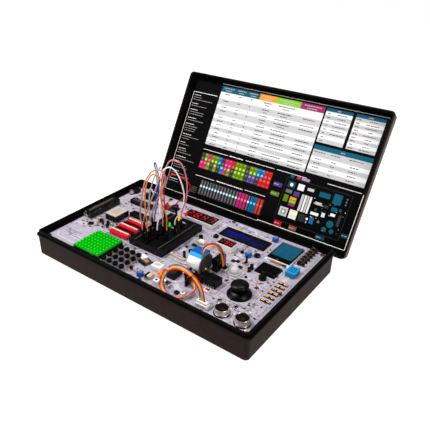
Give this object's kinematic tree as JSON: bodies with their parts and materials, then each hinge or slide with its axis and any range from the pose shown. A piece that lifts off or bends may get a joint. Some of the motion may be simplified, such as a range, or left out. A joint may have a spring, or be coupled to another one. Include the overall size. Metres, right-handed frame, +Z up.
{
  "type": "electronics learning kit",
  "caption": "Shallow case with a leaning hinged lid; a large circuit board of sensors, displays, keys, a breadboard with jumper wires, a stick and a small motor fills the base.",
  "frame": {"origin": "on the surface the kit stands on, under the centre of the base: the middle of the rubber strip's underside", "axes": "+X to the right along the long front edge, +Y to the back where the lid is hinged, +Z up; lid drawn open"},
  "size_m": [0.332, 0.3444, 0.1811],
  "materials": {
    "case_plastic": "fine grained black moulding",
    "foot_rubber": "matt",
    "steel": "turned",
    "print_card": "printed, semi gloss",
    "board_lacquer": "pale lavender solder mask",
    "screw_steel": "plated",
    "controller_green": "green solder mask",
    "black_plastic": "satin black moulding",
    "matrix_green": "translucent bright green",
    "switch_red": "glossy red",
    "slider_white": "white",
    "gold": "gold plated",
    "relay_plastic": "black with a pale top",
    "led_resin": "tinted resin",
    "display_white": "white body, dark face",
    "bezel_black": "black lacquered",
    "display_blue": "blue backlit glass",
    "trimmer_blue": "blue",
    "brass_screw": "machined",
    "screen_dark": "dark glossy screen on a pale board",
    "sensor_cyan": "light blue",
    "stick_rubber": "satin",
    "can_aluminium": "satin can",
    "motor_silver": "zinc plated with a blue cover",
    "orange_insulation": "soft insulation",
    "salmon_insulation": "soft insulation",
    "grey_insulation": "soft insulation",
    "blue_insulation": "soft insulation",
    "white_insulation": "soft insulation",
    "pink_insulation": "soft insulation",
    "red_insulation": "soft insulation",
    "ribbon_insulation": "five colour ribbon"
  },
  "bodies": {
    "base": {"base_shell": "case_plastic", "foot_strip": "foot_rubber", "hinge_pins": "steel", "main_board": "board_lacquer", "board_screws": "screw_steel", "controller_board": "controller_green", "matrix_housing": "black_plastic", "matrix_domes": "matrix_green", "key_switches": "black_plastic", "dip_switch_bodies": "switch_red", "dip_switch_sliders": "slider_white", "pin_headers": "gold", "relay": "relay_plastic", "port_block": "black_plastic", "breadboard": "black_plastic", "leds_and_resistors": "led_resin", "jumper_plugs": "black_plastic", "digit_displays": "display_white", "display_bezel": "bezel_black", "display_glass": "display_blue", "trimmer_bodies": "trimmer_blue", "small_displays": "screen_dark", "humidity_sensor": "sensor_cyan", "stick_base": "black_plastic", "range_sensor_cans": "can_aluminium", "motor_can": "motor_silver", "board_modules": "black_plastic", "wire_orange": "orange_insulation", "wire_salmon": "salmon_insulation", "wire_grey": "grey_insulation", "wire_blue": "blue_insulation", "wire_white": "white_insulation", "wire_pink": "pink_insulation", "wire_red": "red_insulation", "motor_ribbon": "ribbon_insulation", "sensor_ribbon": "ribbon_insulation"},
    "lid": {"lid_shell": "case_plastic", "reference_panel": "print_card"},
    "gimbal": {"stick_gimbal": "black_plastic"},
    "stick": {"stick_cap": "stick_rubber"},
    "shaft": {"motor_shaft": "steel"},
    "key_01": {"key_cap_01": "stick_rubber"},
    "key_02": {"key_cap_02": "stick_rubber"},
    "key_03": {"key_cap_03": "stick_rubber"},
    "key_04": {"key_cap_04": "stick_rubber"},
    "key_05": {"key_cap_05": "stick_rubber"},
    "key_06": {"key_cap_06": "stick_rubber"},
    "key_07": {"key_cap_07": "stick_rubber"},
    "key_08": {"key_cap_08": "stick_rubber"},
    "key_09": {"key_cap_09": "stick_rubber"},
    "key_10": {"key_cap_10": "stick_rubber"},
    "key_11": {"key_cap_11": "stick_rubber"},
    "key_12": {"key_cap_12": "stick_rubber"},
    "key_13": {"key_cap_13": "stick_rubber"},
    "key_14": {"key_cap_14": "stick_rubber"},
    "key_15": {"key_cap_15": "stick_rubber"},
    "key_16": {"key_cap_16": "stick_rubber"},
    "trim_1": {"trimmer_screw_1": "brass_screw"},
    "trim_2": {"trimmer_screw_2": "brass_screw"},
    "trim_3": {"trimmer_screw_3": "brass_screw"}
  },
  "joints": [
    {"name": "lid_hinge", "type": "hinge", "parent": "base", "child": "lid", "pos_m": [0, 0.10704, 0.01253], "axis": [1, 0, 0], "range_deg": [0, 114.1], "deforming": ["wire_orange", "wire_salmon", "wire_grey", "wire_blue", "wire_white", "wire_pink", "wire_red", "motor_ribbon", "sensor_ribbon"]},
    {"name": "key_01_press", "type": "slide", "parent": "base", "child": "key_01", "axis": [0, 0, -1], "range_m": [0, 0.0004], "stiffness_N_per_m": 800, "springref_m": -0.0006},
    {"name": "key_02_press", "type": "slide", "parent": "base", "child": "key_02", "axis": [0, 0, -1], "range_m": [0, 0.0004], "stiffness_N_per_m": 800, "springref_m": -0.0006},
    {"name": "key_03_press", "type": "slide", "parent": "base", "child": "key_03", "axis": [0, 0, -1], "range_m": [0, 0.0004], "stiffness_N_per_m": 800, "springref_m": -0.0006},
    {"name": "key_04_press", "type": "slide", "parent": "base", "child": "key_04", "axis": [0, 0, -1], "range_m": [0, 0.0004], "stiffness_N_per_m": 800, "springref_m": -0.0006},
    {"name": "key_05_press", "type": "slide", "parent": "base", "child": "key_05", "axis": [0, 0, -1], "range_m": [0, 0.0004], "stiffness_N_per_m": 800, "springref_m": -0.0006},
    {"name": "key_06_press", "type": "slide", "parent": "base", "child": "key_06", "axis": [0, 0, -1], "range_m": [0, 0.0004], "stiffness_N_per_m": 800, "springref_m": -0.0006},
    {"name": "key_07_press", "type": "slide", "parent": "base", "child": "key_07", "axis": [0, 0, -1], "range_m": [0, 0.0004], "stiffness_N_per_m": 800, "springref_m": -0.0006},
    {"name": "key_08_press", "type": "slide", "parent": "base", "child": "key_08", "axis": [0, 0, -1], "range_m": [0, 0.0004], "stiffness_N_per_m": 800, "springref_m": -0.0006},
    {"name": "key_09_press", "type": "slide", "parent": "base", "child": "key_09", "axis": [0, 0, -1], "range_m": [0, 0.0004], "stiffness_N_per_m": 800, "springref_m": -0.0006},
    {"name": "key_10_press", "type": "slide", "parent": "base", "child": "key_10", "axis": [0, 0, -1], "range_m": [0, 0.0004], "stiffness_N_per_m": 800, "springref_m": -0.0006},
    {"name": "key_11_press", "type": "slide", "parent": "base", "child": "key_11", "axis": [0, 0, -1], "range_m": [0, 0.0004], "stiffness_N_per_m": 800, "springref_m": -0.0006},
    {"name": "key_12_press", "type": "slide", "parent": "base", "child": "key_12", "axis": [0, 0, -1], "range_m": [0, 0.0004], "stiffness_N_per_m": 800, "springref_m": -0.0006},
    {"name": "key_13_press", "type": "slide", "parent": "base", "child": "key_13", "axis": [0, 0, -1], "range_m": [0, 0.0004], "stiffness_N_per_m": 800, "springref_m": -0.0006},
    {"name": "key_14_press", "type": "slide", "parent": "base", "child": "key_14", "axis": [0, 0, -1], "range_m": [0, 0.0004], "stiffness_N_per_m": 800, "springref_m": -0.0006},
    {"name": "key_15_press", "type": "slide", "parent": "base", "child": "key_15", "axis": [0, 0, -1], "range_m": [0, 0.0004], "stiffness_N_per_m": 800, "springref_m": -0.0006},
    {"name": "key_16_press", "type": "slide", "parent": "base", "child": "key_16", "axis": [0, 0, -1], "range_m": [0, 0.0004], "stiffness_N_per_m": 800, "springref_m": -0.0006},
    {"name": "trim_1_turn", "type": "hinge", "parent": "base", "child": "trim_1", "pos_m": [0.0893, 0.0827, 0.0355], "axis": [0, 0, 1], "range_deg": [-130, 130]},
    {"name": "trim_2_turn", "type": "hinge", "parent": "base", "child": "trim_2", "pos_m": [0.0804, 0.031, 0.0355], "axis": [0, 0, 1], "range_deg": [-130, 130]},
    {"name": "trim_3_turn", "type": "hinge", "parent": "base", "child": "trim_3", "pos_m": [0.0021, -0.081, 0.0355], "axis": [0, 0, 1], "range_deg": [-130, 130]},
    {"name": "stick_tilt_y", "type": "hinge", "parent": "base", "child": "gimbal", "pos_m": [0.1135, -0.039, 0.035], "axis": [1, 0, 0], "range_deg": [-15, 15], "stiffness_Nm_per_rad": 0.05},
    {"name": "stick_tilt_x", "type": "hinge", "parent": "gimbal", "child": "stick", "pos_m": [0.1135, -0.039, 0.035], "axis": [0, 1, 0], "range_deg": [-15, 15], "stiffness_Nm_per_rad": 0.05},
    {"name": "motor_turn", "type": "hinge", "parent": "base", "child": "shaft", "pos_m": [0.0614, -0.0317, 0.0367], "axis": [1, 0, 0], "continuous": true}
  ]
}
